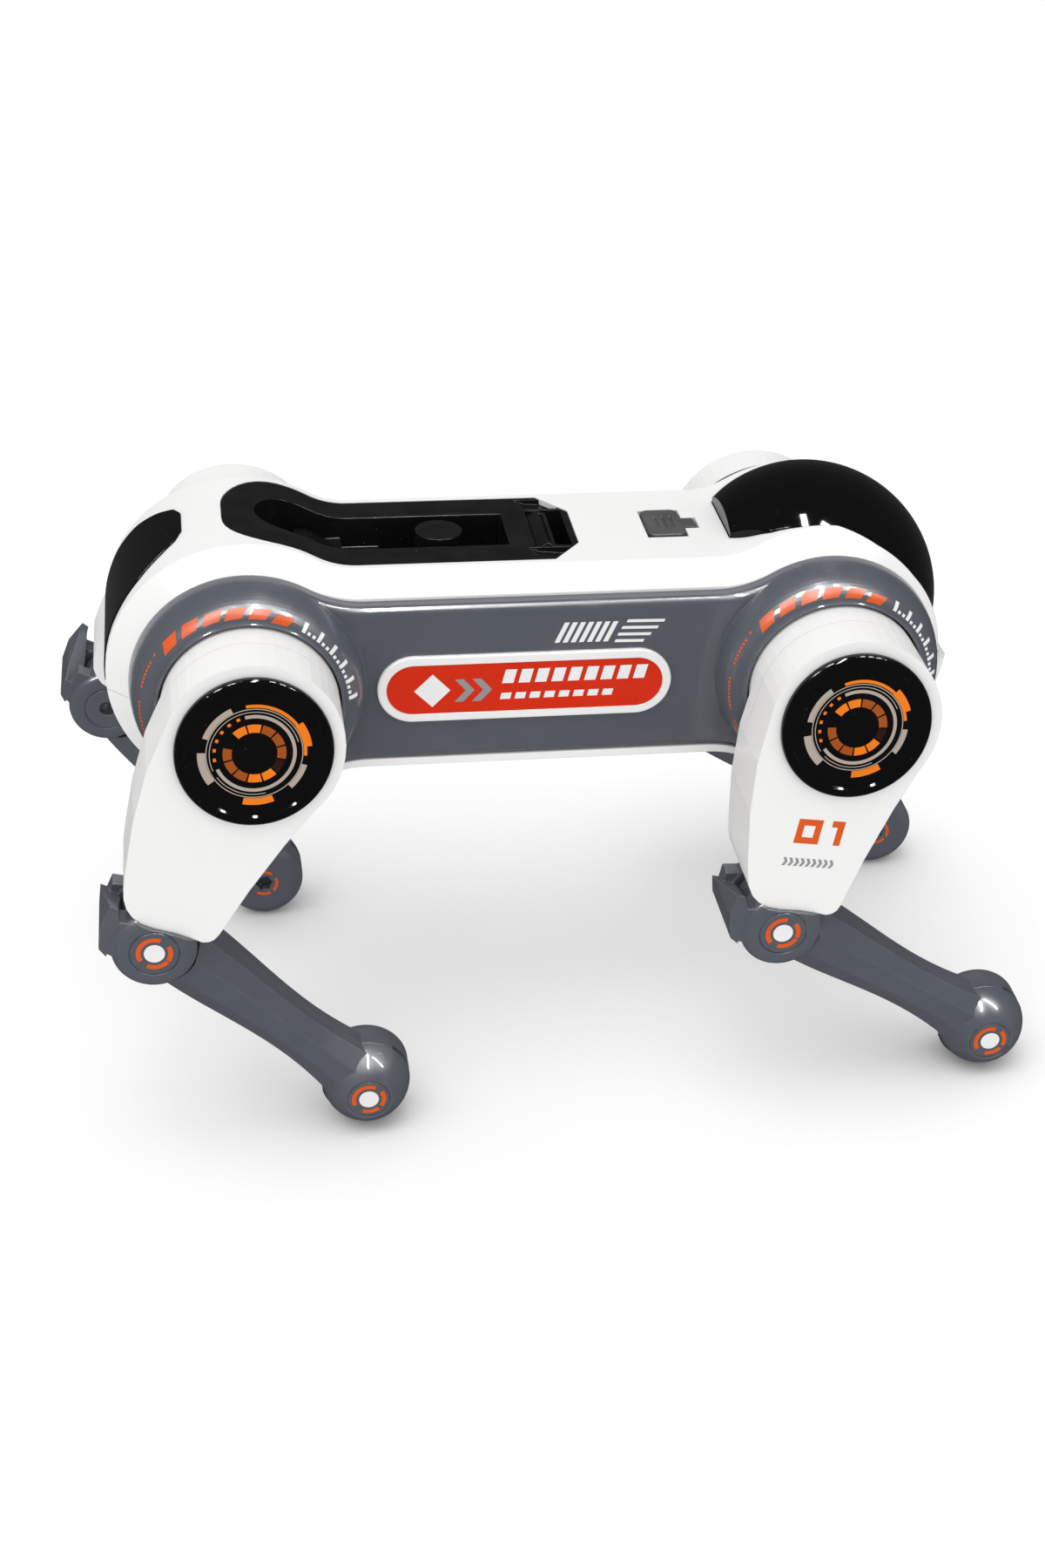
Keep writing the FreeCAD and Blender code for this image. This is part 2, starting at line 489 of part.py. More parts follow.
def shin_solid():
    beam = Part.makeLoft([section(*s) for s in STATIONS], True, False)
    ball = Part.makeSphere(BALL_R, V(SHIN_L, BALL_Y, 0))
    ball = ball.common(box(0, 200, BALL_Y, 95.2, -60, 60))
    barrel = rod(BALL_R, 66.0, BALL_Y, SHIN_L, 0)
    barrel = rounded(barrel, 5.5, lambda e: e.BoundBox.YMax < 66.1)
    ball = ball.fuse(barrel)
    beam = beam.cut(rod(16.8, 40, 120))
    neck = box(0, 20, KNEE_Y - 6.3, KNEE_Y + 6.3, -9.5, 9.5)
    knuckle = rod(KNUCKLE_R, KNEE_Y - 6.3, KNEE_Y + 6.3)
    s = beam.fuse([ball, knuckle, neck])
    # slot round the ball from the top over the toe to the sole
    slot = rod(30, BALL_Y - 1.7, BALL_Y + 1.7, SHIN_L, 0).cut(
        rod(12.4, BALL_Y - 3, BALL_Y + 3, SHIN_L, 0))
    keep = [(SHIN_L, 0)]
    for k in range(0, 11):
        a = math.radians(-122 + 22.0 * k)
        keep.append((SHIN_L + 40 * math.cos(a), 40 * math.sin(a)))
    slot = slot.common(prism_xz(keep, 60, 100))
    s = s.cut(slot)
    # screw recess on the inner side of the ball and ring groove on the outer side
    s = s.cut(rod(3.3, 60, 71.0, SHIN_L, 0))
    for k in range(6):
        a = math.radians(60 * k)
        s = s.cut(rod(0.7, 60, 70.2, SHIN_L + 3.3 * math.cos(a), 3.3 * math.sin(a)))
    s = s.cut(rod(8.6, 94.8, 97, SHIN_L, 0).cut(rod(8.0, 94.0, 98, SHIN_L, 0)))
    s = s.cut(rod(PIN_R + PIN_CLEAR, 60, 110))
    return s


shin = shin_solid()
MID = 82.0
shin_outer = clean(shin.common(box(-60, 200, MID + GAP / 2, 130, -60, 60)))
shin_inner = clean(shin.common(box(-60, 200, 40, MID - GAP / 2, -60, 60)))
tread = rod(TREAD_R, BALL_Y - 1.6, BALL_Y + 1.6, SHIN_L, 0).cut(
    rod(12.6, BALL_Y - 3, BALL_Y + 3, SHIN_L, 0))
fan = [(SHIN_L, 0)]
for k in range(0, 7):
    a = math.radians(-121 + 22.0 * k)
    fan.append((SHIN_L + 40 * math.cos(a), 40 * math.sin(a)))
tread = clean(tread.common(prism_xz(fan, 60, 100)))

# ---------------------------------------------------------------- place everything
nodes = {
    "upper_shell": clean(upper),
    "lower_shell": clean(lower),
    "side_panel_left": side_panel_left,
    "side_panel_right": flip_y(side_panel_left),
    "visor": visor,
    "tail_cover": tail,
    "light_bar": light,
    "accessory_tray": tray,
    "tray_latch": latch,
    "charge_socket": socket,
    "charge_flap": flap,
    "control_board": board,
    "battery_pack": battery,
    "battery_door": door,
    "speaker": speaker,
    "power_switch": knob,
    "body_screws": Part.makeCompound(screws),
    "side_badges": Part.makeCompound([badge_outer, flip_y(badge_outer)]),
}
for name, (sx, sy, thigh_deg) in LEGS.items():
    shin_deg = shin_angle(sx, thigh_deg)
    d = moved(drive(sx), sx * HIP_X)
    nodes["hip_drive_" + name] = d if sy > 0 else flip_y(d)
    upper_leg = {
        "thigh_outer": thigh_outer,
        "thigh_inner": thigh_inner,
        "hip_cap": hip_cap,
        "knee_yoke": knee_yoke,
        "knee_pin": knee_pin,
        "thigh_screws": Part.makeCompound(thigh_screws),
    }
    lower_leg = {"shin_outer": shin_outer, "shin_inner": shin_inner, "foot_tread": tread}
    for key, shape in lower_leg.items():
        s = shape.copy()
        s.rotate(V(0, 0, 0), V(0, 1, 0), shin_deg - thigh_deg)
        upper_leg[key] = moved(s, 0, 0, K)
    for key, shape in upper_leg.items():
        s = shape.copy() if sy > 0 else flip_y(shape)
        s.rotate(V(0, 0, 0), V(0, 1, 0), thigh_deg)
        nodes[key + "_" + name] = moved(s, sx * HIP_X)


for shape in nodes.values():
    shape.rotate(V(0, 0, 0), V(0, 1, 0), PITCH)
x_min = min(s.BoundBox.XMin for s in nodes.values())
x_max = max(s.BoundBox.XMax for s in nodes.values())
SHIFT = ((x_min + x_max) / 2, -(STAND_H + TREAD_R))
os.makedirs("parts", exist_ok=True)
for name, shape in nodes.items():
    shape.translate(V(-SHIFT[0], 0, -SHIFT[1]))
    shape.exportStep("parts/" + name + ".step")
print("nodes", len(nodes), "shift", SHIFT)
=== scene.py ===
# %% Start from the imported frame
import json
import math

import bmesh
import bpy
from mathutils import Matrix, Vector


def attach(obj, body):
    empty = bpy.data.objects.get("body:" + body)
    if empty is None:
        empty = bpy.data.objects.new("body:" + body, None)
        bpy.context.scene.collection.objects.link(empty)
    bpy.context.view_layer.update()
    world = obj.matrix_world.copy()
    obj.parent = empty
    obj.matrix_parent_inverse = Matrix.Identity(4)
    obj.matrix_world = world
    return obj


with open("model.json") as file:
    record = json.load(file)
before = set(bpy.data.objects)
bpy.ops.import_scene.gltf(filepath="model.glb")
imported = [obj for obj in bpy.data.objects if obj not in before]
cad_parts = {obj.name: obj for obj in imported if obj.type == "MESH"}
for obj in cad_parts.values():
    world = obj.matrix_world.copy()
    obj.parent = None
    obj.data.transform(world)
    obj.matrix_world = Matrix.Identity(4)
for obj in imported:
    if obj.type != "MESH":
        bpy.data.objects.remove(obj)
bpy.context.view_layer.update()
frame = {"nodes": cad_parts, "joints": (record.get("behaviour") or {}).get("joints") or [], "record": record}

# %% [markdown]
# The robot stands with its body tilted slightly nose down, so it helps to draw on it in
# its own tidy coordinates: millimetres, X towards the nose, Y to the robot's left, Z up,
# with the hip axes at Z = 0.  The four hip joints say where that frame is, so nothing is
# measured twice: their midpoint is the origin and the rear-to-front line is X.

# %% Body coordinates from the hip joints
MM = 0.001
LEGS = ("rear_right", "front_right", "rear_left", "front_left")
joint_at = {j["name"]: Vector(j["pos_m"]) for j in frame["joints"] if "pos_m" in j}


def on_midplane(v):
    return Vector((v.x, 0.0, v.z))


def axes_matrix(origin, x_axis, side=1.0):
    """Millimetre coordinates with X along x_axis and Y outwards on the given side."""
    x_axis = x_axis.normalized()
    z_axis = x_axis.cross(Vector((0, 1, 0)))
    m = Matrix.Identity(4)
    m.col[0][:3] = x_axis * MM
    m.col[1][:3] = Vector((0, side, 0)) * MM
    m.col[2][:3] = z_axis * MM
    m.col[3][:3] = origin
    return m


rear_hip = on_midplane(joint_at["hip_rear_right"])
front_hip = on_midplane(joint_at["hip_front_right"])
body_axis = front_hip - rear_hip
BODY = {side: axes_matrix((rear_hip + front_hip) / 2, body_axis, side) for side in (-1, 1)}
HIP_X = body_axis.length / MM / 2
print("hip axes", round(2 * HIP_X, 1), "mm apart, body leans",
      round(math.degrees(math.atan2(-body_axis.z, body_axis.x)), 2), "degrees")

# %% [markdown]
# Each leg turns, so its prints are drawn in coordinates that turn with it.  The thigh's
# Z axis runs from knee to hip.  The shin's X axis runs from the knee to the middle of the
# ball foot, which stands on the ground at the ball's radius.

# %% Leg coordinates from the hip and knee joints
SHIN_LENGTH = 112.6
BALL_RADIUS = 17.9
THIGH, SHIN, SIDE = {}, {}, {}
for leg in LEGS:
    hip = joint_at["hip_" + leg]
    knee = joint_at["knee_" + leg]
    SIDE[leg] = 1.0 if hip.y > 0 else -1.0
    up = on_midplane(hip - knee).normalized()
    forward = Vector((0, 1, 0)).cross(up)
    THIGH[leg] = axes_matrix(on_midplane(hip), forward, SIDE[leg])
    drop = knee.z - BALL_RADIUS * MM
    reach = math.sqrt((SHIN_LENGTH * MM) ** 2 - drop ** 2)
    SHIN[leg] = axes_matrix(on_midplane(knee), Vector((reach, 0, -drop)), SIDE[leg])
    print(leg, "thigh leans back",
          round(math.degrees(math.asin(up.x)), 1), "degrees")

# %% [markdown]
# Moulded plastic is never one flat value.  Handling leaves broad, faint smudges that are a
# little duller than the polished skin, and the skin itself ripples by a few microns.  The
# group makes both from noise on the object's own coordinates, so that every plastic can
# use it with its own strength.  It puts out a colour, a roughness and a normal, and the
# shader itself stays in each material.

# %% Shader group: handled gloss


def new_group(name, inputs, outputs):
    group = bpy.data.node_groups.new(name, "ShaderNodeTree")
    for label, kind, value in inputs:
        socket = group.interface.new_socket(label, in_out="INPUT", socket_type=kind)
        if value is not None:
            socket.default_value = value
    for label, kind in outputs:
        group.interface.new_socket(label, in_out="OUTPUT", socket_type=kind)
    return group, group.nodes.new("NodeGroupInput"), group.nodes.new("NodeGroupOutput")


def node(tree, kind, **settings):
    n = tree.nodes.new(kind)
    for key, value in settings.items():
        if key.startswith("in_"):
            n.inputs[key[3:].replace("_", " ")].default_value = value
        else:
            setattr(n, key, value)
    return n


def math_node(tree, operation, a, b=None, clamp=False):
    n = node(tree, "ShaderNodeMath", operation=operation, use_clamp=clamp)
    for index, value in enumerate((a, b)):
        if isinstance(value, (int, float)):
            n.inputs[index].default_value = value
        elif value is not None:
            tree.links.new(value, n.inputs[index])
    return n.outputs[0]


def noise(tree, vector, scale, detail, rough=0.5):
    n = node(tree, "ShaderNodeTexNoise", in_Scale=scale, in_Detail=detail, in_Roughness=rough)
    tree.links.new(vector, n.inputs["Vector"])
    return n.outputs["Fac"]


def ramp(tree, value, low, high, to_low=0.0, to_high=1.0):
    n = node(tree, "ShaderNodeMapRange", interpolation_type="SMOOTHSTEP",
             in_From_Min=low, in_From_Max=high, in_To_Min=to_low, in_To_Max=to_high)
    tree.links.new(value, n.inputs["Value"])
    return n.outputs["Result"]


def mix_colour(tree, factor, a, b, blend="MIX"):
    n = node(tree, "ShaderNodeMix", data_type="RGBA", blend_type=blend)
    for socket, value in ((n.inputs["Factor"], factor), (n.inputs[6], a), (n.inputs[7], b)):
        if isinstance(value, (int, float, tuple)):
            socket.default_value = value
        else:
            tree.links.new(value, socket)
    return n.outputs[2]


handled, gin, gout = new_group(
    "handled_gloss",
    [("Color", "NodeSocketColor", (0.8, 0.8, 0.8, 1)), ("Roughness", "NodeSocketFloat", 0.25),
     ("Mottle", "NodeSocketFloat", 0.04), ("Smudge", "NodeSocketFloat", 0.1),
     ("Ripple", "NodeSocketFloat", 0.1), ("Normal", "NodeSocketVector", None)],
    [("Color", "NodeSocketColor"), ("Roughness", "NodeSocketFloat"),
     ("Normal", "NodeSocketVector")])
where = node(handled, "ShaderNodeTexCoord").outputs["Object"]
broad = noise(handled, where, 38.0, 4.0, 0.6)
fine = noise(handled, where, 420.0, 3.0)
shade = math_node(handled, "MULTIPLY", math_node(handled, "SUBTRACT", broad, 0.5),
                  gin.outputs["Mottle"])
shade = math_node(handled, "ADD", shade, 1.0)
grey = node(handled, "ShaderNodeCombineColor")
for index in range(3):
    handled.links.new(shade, grey.inputs[index])
handled.links.new(mix_colour(handled, 1.0, gin.outputs["Color"], grey.outputs[0], "MULTIPLY"),
                  gout.inputs["Color"])
smudge = math_node(handled, "MULTIPLY", ramp(handled, broad, 0.5, 0.68), gin.outputs["Smudge"])
handled.links.new(math_node(handled, "ADD", smudge, gin.outputs["Roughness"], clamp=True),
                  gout.inputs["Roughness"])
bump = node(handled, "ShaderNodeBump", in_Distance=0.0002)
handled.links.new(gin.outputs["Ripple"], bump.inputs["Strength"])
handled.links.new(fine, bump.inputs["Height"])
handled.links.new(gin.outputs["Normal"], bump.inputs["Normal"])
handled.links.new(bump.outputs[0], gout.inputs["Normal"])
print("group handled_gloss:", len(handled.nodes), "nodes")

# %% [markdown]
# A mould can't make a knife-sharp corner, and handling polishes what is left, so every
# edge catches a thin line of light.  The Bevel node gives the normal of a rounded corner
# without touching the mesh.  Where that normal differs from the true one there is an
# edge, and the difference makes a mask that lightens the colour there: partly real wear,
# partly a painted highlight that stands in for that line of light.

# %% Shader group: soft edges with a little wear and a painted edge highlight
edges, gin, gout = new_group(
    "soft_edges",
    [("Color", "NodeSocketColor", (0.8, 0.8, 0.8, 1)),
     ("Edge Color", "NodeSocketColor", (1, 1, 1, 1)),
     ("Wear", "NodeSocketFloat", 0.3), ("Radius", "NodeSocketFloat", 0.0006)],
    [("Color", "NodeSocketColor"), ("Normal", "NodeSocketVector")])
round_normal = node(edges, "ShaderNodeBevel", samples=6)
edges.links.new(gin.outputs["Radius"], round_normal.inputs["Radius"])
true_normal = node(edges, "ShaderNodeNewGeometry").outputs["Normal"]
dot = node(edges, "ShaderNodeVectorMath", operation="DOT_PRODUCT")
edges.links.new(round_normal.outputs[0], dot.inputs[0])
edges.links.new(true_normal, dot.inputs[1])
# The edge mask lightens the colour: partly real wear, partly a painted highlight along each edge.
edge = ramp(edges, math_node(edges, "SUBTRACT", 1.0, dot.outputs["Value"]), 0.004, 0.12)
patchy = ramp(edges, noise(edges, node(edges, "ShaderNodeTexCoord").outputs["Object"],
                           160.0, 4.0), 0.35, 0.65, 0.3, 1.0)
edge = math_node(edges, "MULTIPLY", math_node(edges, "MULTIPLY", edge, patchy),
                 gin.outputs["Wear"], clamp=True)
edges.links.new(mix_colour(edges, edge, gin.outputs["Color"], gin.outputs["Edge Color"]),
                gout.inputs["Color"])
edges.links.new(round_normal.outputs[0], gout.inputs["Normal"])
print("group soft_edges:", len(edges.nodes), "nodes")

# %% [markdown]
# Dust settles on what faces up and shows most on black.  The group reads how far the
# surface faces up, breaks that up with two sizes of noise, and adds pale specks no bigger
# than a fraction of a millimetre.

# %% Shader group: settled dust
dust, gin, gout = new_group(
    "settled_dust",
    [("Color", "NodeSocketColor", (0.8, 0.8, 0.8, 1)),
     ("Dust Color", "NodeSocketColor", (0.5, 0.5, 0.5, 1)),
     ("Film", "NodeSocketFloat", 0.02), ("Specks", "NodeSocketFloat", 0.2)],
    [("Color", "NodeSocketColor")])
where = node(dust, "ShaderNodeTexCoord").outputs["Object"]
split = node(dust, "ShaderNodeSeparateXYZ")
dust.links.new(node(dust, "ShaderNodeNewGeometry").outputs["Normal"], split.inputs[0])
facing_up = ramp(dust, split.outputs["Z"], 0.1, 1.0)
film = math_node(dust, "MULTIPLY", facing_up, gin.outputs["Film"])
film = math_node(dust, "MULTIPLY", film, ramp(dust, noise(dust, where, 90.0, 4.0), 0.3, 0.7))
cells = node(dust, "ShaderNodeTexVoronoi", in_Scale=420.0)
dust.links.new(where, cells.inputs["Vector"])
speck = ramp(dust, cells.outputs["Distance"], 0.06, 0.1, 1.0, 0.0)
sparse = ramp(dust, noise(dust, where, 230.0, 2.0), 0.6, 0.66)
speck = math_node(dust, "MULTIPLY", math_node(dust, "MULTIPLY", speck, sparse),
                  gin.outputs["Specks"])
mask = math_node(dust, "ADD", film, speck, clamp=True)
dust.links.new(mix_colour(dust, mask, gin.outputs["Color"], gin.outputs["Dust Color"]),
               gout.inputs["Color"])
print("group settled_dust:", len(dust.nodes), "nodes")

# %% [markdown]
# Every plastic is the same chain: its colour gets edges lightened partly by wear and partly
# by a painted highlight, then dust, then smudges, and the rounded normal gets the ripple.
# What differs is written as a row of numbers.  The clear skin of a gloss part is a coat on
# the same shader, set directly on its sockets.

# %% A maker for plastics
PLASTIC_IOR = 1.5


def grouped(tree, group, **values):
    n = tree.nodes.new("ShaderNodeGroup")
    n.node_tree = group
    for key, value in values.items():
        n.inputs[key.replace("_", " ")].default_value = value
    return n


def start_material(name):
    material = bpy.data.materials.new(name)
    material.use_nodes = True
    tree = material.node_tree
    return material, tree, tree.nodes["Principled BSDF"]


def plastic(name, colour, rough, mottle=0.05, smudge=0.08, ripple=0.06, wear_and_highlight=0.2, edge=None,
            film=0.0, specks=0.0, radius=0.0006, coat=0.0, coat_rough=0.05, specular=0.5):
    material, tree, shader = start_material(name)
    colour = (*colour, 1.0)
    edge = (*(edge or colour[:3]), 1.0)
    # Edges are lightened in the colour: partly wear, partly a painted edge highlight.
    worn_and_highlit = grouped(tree, edges, Color=colour, Edge_Color=edge, Wear=wear_and_highlight, Radius=radius)
    dusty = grouped(tree, dust, Film=film, Specks=specks)
    skin = grouped(tree, handled, Roughness=rough, Mottle=mottle, Smudge=smudge,
                   Ripple=ripple)
    tree.links.new(worn_and_highlit.outputs["Color"], dusty.inputs["Color"])
    tree.links.new(dusty.outputs["Color"], skin.inputs["Color"])
    tree.links.new(worn_and_highlit.outputs["Normal"], skin.inputs["Normal"])
    for label in ("Color", "Roughness", "Normal"):
        to = "Base Color" if label == "Color" else label
        tree.links.new(skin.outputs[label], shader.inputs[to])
    shader.inputs["IOR"].default_value = PLASTIC_IOR
    shader.inputs["Specular IOR Level"].default_value = specular
    shader.inputs["Coat Weight"].default_value = coat
    shader.inputs["Coat Roughness"].default_value = coat_rough
    material.diffuse_color = colour
    return material


# Each edge colour and its strength paint the edges lighter: partly wear, partly painted highlight.
MATERIALS = {
    "white_plastic": plastic("white_shell_plastic", (0.87, 0.87, 0.86), 0.3, mottle=0.02,
                             smudge=0.06, wear_and_highlight=0.3, edge=(0.95, 0.95, 0.95),
                             specular=0.25),
    "grey_plastic": plastic("slate_gloss_plastic", (0.092, 0.102, 0.122), 0.3, mottle=0.22,
                            smudge=0.14, ripple=0.12, wear_and_highlight=0.5, edge=(0.26, 0.28, 0.31),
                            specks=0.25, radius=0.0008, coat=0.45, coat_rough=0.08),
    "black_gloss": plastic("black_mirror_plastic", (0.004, 0.004, 0.0045), 0.05, mottle=0.2,
                           smudge=0.05, ripple=0.03, wear_and_highlight=0.1, edge=(0.03, 0.03, 0.033),
                           specks=0.15, specular=0.24),
    "black_plastic": plastic("black_bay_plastic", (0.007, 0.007, 0.008), 0.2, mottle=0.3,
                             smudge=0.12, ripple=0.1, wear_and_highlight=0.5, edge=(0.05, 0.05, 0.055),
                             film=0.01, specks=0.25, specular=0.26),
    "badge_red": plastic("white_badge_border", (0.86, 0.86, 0.85), 0.22, mottle=0.02),
}
print("plastics:", ", ".join(m.name for m in MATERIALS.values()))

# %% [markdown]
# Rubber is dull because its skin is rough at a scale finer than the eye sees, so it gets
# high roughness, more grain and some sheen rather than a coat.

# %% Rubber of the port flap and the foot treads
rubber = plastic("flap_and_tread_rubber", (0.016, 0.016, 0.017), 0.6, mottle=0.3, smudge=0.1,
                 ripple=0.5, wear_and_highlight=0.4, edge=(0.06, 0.06, 0.06), film=0.05, specks=0.3)
rubber.node_tree.nodes["Principled BSDF"].inputs["Sheen Weight"].default_value = 0.1
MATERIALS["soft_rubber"] = rubber
print("made", rubber.name)

# %% [markdown]
# Turned and plated steel shows fine lines round its axis.  Noise that is squeezed along
# one direction stands for them, and it drives both the roughness and a slight bump.

# %% Steel of the pins and screws
steel, tree, shader = start_material("plated_steel")
stretch = node(tree, "ShaderNodeMapping")
stretch.inputs["Scale"].default_value = (1.0, 12.0, 1.0)
tree.links.new(node(tree, "ShaderNodeTexCoord").outputs["Object"], stretch.inputs["Vector"])
lines = noise(tree, stretch.outputs[0], 600.0, 3.0)
tree.links.new(mix_colour(tree, lines, (0.42, 0.42, 0.43, 1), (0.62, 0.62, 0.63, 1)),
               shader.inputs["Base Color"])
tree.links.new(ramp(tree, lines, 0.3, 0.7, 0.22, 0.42), shader.inputs["Roughness"])
steel_bump = node(tree, "ShaderNodeBump", in_Strength=0.2, in_Distance=0.0001)
tree.links.new(lines, steel_bump.inputs["Height"])
tree.links.new(steel_bump.outputs[0], shader.inputs["Normal"])
shader.inputs["Metallic"].default_value = 1.0
MATERIALS["steel"] = steel
print("made", steel.name)

# %% [markdown]
# The inner parts are seen only through gaps and when the hatch is off.  A circuit board is
# green lacquer over copper tracks, so a brick pattern stands for the tracks.  The battery
# wrap, the gear case and the light bar are plain plastics with their own gloss.

# %% Inner parts
board, tree, shader = start_material("circuit_board_lacquer")
tracks = node(tree, "ShaderNodeTexBrick", in_Scale=140.0)
tracks.inputs["Mortar Size"].default_value = 0.03
tracks.inputs["Color1"].default_value = (0.012, 0.10, 0.035, 1)
tracks.inputs["Color2"].default_value = (0.016, 0.13, 0.045, 1)
tracks.inputs["Mortar"].default_value = (0.10, 0.22, 0.05, 1)
tree.links.new(node(tree, "ShaderNodeTexCoord").outputs["Object"], tracks.inputs["Vector"])
board_skin = grouped(tree, handled, Roughness=0.35, Mottle=0.2, Smudge=0.1, Ripple=0.1)
tree.links.new(tracks.outputs["Color"], board_skin.inputs["Color"])
for label, to in (("Color", "Base Color"), ("Roughness", "Roughness"), ("Normal", "Normal")):
    tree.links.new(board_skin.outputs[label], shader.inputs[to])
MATERIALS["board_green"] = board
MATERIALS["battery_wrap"] = plastic("battery_shrink_wrap", (0.03, 0.09, 0.30), 0.35,
                                    mottle=0.15, wear_and_highlight=0.3, edge=(0.2, 0.3, 0.5))
MATERIALS["drive_plastic"] = plastic("gear_case_plastic", (0.62, 0.60, 0.54), 0.45,
                                     mottle=0.08, ripple=0.2)
MATERIALS["clear_diffuser"] = plastic("milky_light_bar", (0.62, 0.66, 0.72), 0.3, mottle=0.05)
print("inner finishes:", len(MATERIALS), "in all")

# %% Give every CAD node its finish
for part in frame["record"]["subparts"]:
    shown = frame["nodes"][part["node"]]
    shown.data.materials.clear()
    shown.data.materials.append(MATERIALS[part["material_slot"]])

# %% [markdown]
# The markings are pad-printed: a layer of ink a few hundredths of a millimetre thick on
# the finished plastic.  Each is a thin sheet of faces laid just over its surface, so that
# it has crisp borders at any distance and moves with its part.  The inks share the
# plastics' maker, with neither edge wear nor painted edge highlight, and no coat.

# %% Inks
INK = {
    "orange": plastic("ink_orange", (0.74, 0.095, 0.004), 0.34, mottle=0.12, smudge=0.1,
                      wear_and_highlight=0.0, specular=0.3),
    "white": plastic("ink_white", (0.85, 0.85, 0.85), 0.3, mottle=0.05, wear_and_highlight=0.0),
    "red": plastic("ink_badge_red", (0.66, 0.022, 0.001), 0.26, mottle=0.1, smudge=0.06,
                   wear_and_highlight=0.0, specular=0.2),
    "grey": plastic("ink_grey", (0.30, 0.29, 0.30), 0.35, mottle=0.1, wear_and_highlight=0.0),
    "bright": plastic("ink_dial_bright", (0.86, 0.20, 0.004), 0.3, mottle=0.15, wear_and_highlight=0.0,
                      specular=0.2),
    "amber": plastic("ink_dial_amber", (0.36, 0.075, 0.006), 0.3, mottle=0.15, wear_and_highlight=0.0,
                      specular=0.2),
    "ember": plastic("ink_dial_ember", (0.03, 0.008, 0.003), 0.3, mottle=0.15, wear_and_highlight=0.0,
                      specular=0.2),
    "sand": plastic("ink_dial_sand", (0.44, 0.37, 0.31), 0.3, mottle=0.1, wear_and_highlight=0.0),
}
print("inks:", ", ".join(INK))

# %% [markdown]
# A print is a list of (ink, outline) pairs in the millimetre coordinates of its part.  The
# maker below turns them into one mesh, turns each face outwards and lets the mesh ride on
# its body.

# %% A maker for prints
SKIN = 0.05          # height of a print over its surface, millimetres


def print_piece(name, marks, matrix, body, outwards=(0, 1, 0)):
    used = sorted({ink for ink, outline in marks})
    mesh = bpy.data.meshes.new(name)
    build = bmesh.new()
    facing = matrix.to_3x3() @ Vector(outwards)
    for ink, outline in marks:
        face = build.faces.new([build.verts.new(matrix @ Vector(p)) for p in outline])
        face.normal_update()
        if face.normal.dot(facing) < 0:
            face.normal_flip()
        face.material_index = used.index(ink)
        face.smooth = True
    bmesh.ops.remove_doubles(build, verts=build.verts, dist=1e-7)
    build.to_mesh(mesh)
    build.free()
    for ink in used:
        mesh.materials.append(INK[ink])
    piece = bpy.data.objects.new(name, mesh)
    bpy.context.scene.collection.objects.link(piece)
    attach(piece, body)
    return piece


def sector(ink, r0, r1, a0, a1, place, step=4.0):
    """Part of a ring between radii r0 and r1 and angles a0 and a1, as short quads."""
    count = max(1, round(abs(a1 - a0) / step))
    marks = []
    for k in range(count):
        b0 = math.radians(a0 + (a1 - a0) * k / count)
        b1 = math.radians(a0 + (a1 - a0) * (k + 1) / count)
        corners = [(r0, b0), (r1, b0), (r1, b1), (r0, b1)]
        marks.append((ink, [place(r * math.cos(b), r * math.sin(b)) for r, b in corners]))
    return marks


# %% [markdown]
# The grey collar round each hip is a dome: its profile is a quarter of an ellipse.  A
# print on it follows two angles, one round the hip axis and one over the dome, so each
# mark is a small grid of faces on that surface.  Over the top run six orange blocks, on
# the nose side a white scale, and down the tail side thin orange dashes.

# %% Prints on the hip domes
DOME_IN, DOME_OUT = 40.0, 61.18      # where the dome starts and ends, outwards
DOME_FOOT, DOME_RISE = 35.2, 9.3     # inner radius, and how much wider its foot is


def on_dome(centre_x, around, over):
    a, t = math.radians(around), math.radians(over)
    y = DOME_IN + (DOME_OUT - DOME_IN) * math.sin(t) + SKIN * math.sin(t)
    r = DOME_FOOT + DOME_RISE * math.cos(t) + SKIN * math.cos(t)
    return (centre_x + r * math.cos(a), y, r * math.sin(a))


def dome_patch(ink, centre_x, a0, a1, t0, t1, slant=0.0):
    """A mark from a0 to a1 round the hip and t0 (outer) to t1 (inner) over the dome."""
    across = max(1, round(abs(a1 - a0) / 3))
    down = max(1, round(abs(t1 - t0) / 6))
    marks = []

    def at(i, j):
        w = j / down
        shift = slant * (0.5 - w)
        return on_dome(centre_x, a0 + (a1 - a0) * i / across + shift, t0 + (t1 - t0) * w)

    for i in range(across):
        for j in range(down):
            marks.append((ink, [at(i, j), at(i + 1, j), at(i + 1, j + 1), at(i, j + 1)]))
    return marks


BLOCKS = ((136.0, 64.3), (122.3, 64.6), (108.9, 65.8), (96.5, 68.3), (83.2, 70.6), (70.2, 74.4))
LONG_TICKS = (57.0, 46.5, 36.0, 25.5, 15.0, 4.5)
DASHES = ((146, 149, 54, 57), (151, 168, 55, 59), (175, 196, 54, 58), (202, 215, 55, 59),
          (224, 240, 57, 61))
BLOCK_HALF, BLOCK_SLANT = 4.9, -3.5  # degrees round the hip
BLOCK_BELOW, BLOCK_ABOVE = 11, 9     # degrees over the dome, either side of its middle
TICK_HALF, TICK_FROM, TICK_TO = 1.2, 60, 81
SHORT_TICK_HALF, SHORT_TICK_FROM = 1.0, 74
SHORT_TICK_STEPS = (3.5, 7.0)
DASH_PITCH, DASH_FILL = 2.4, 0.66


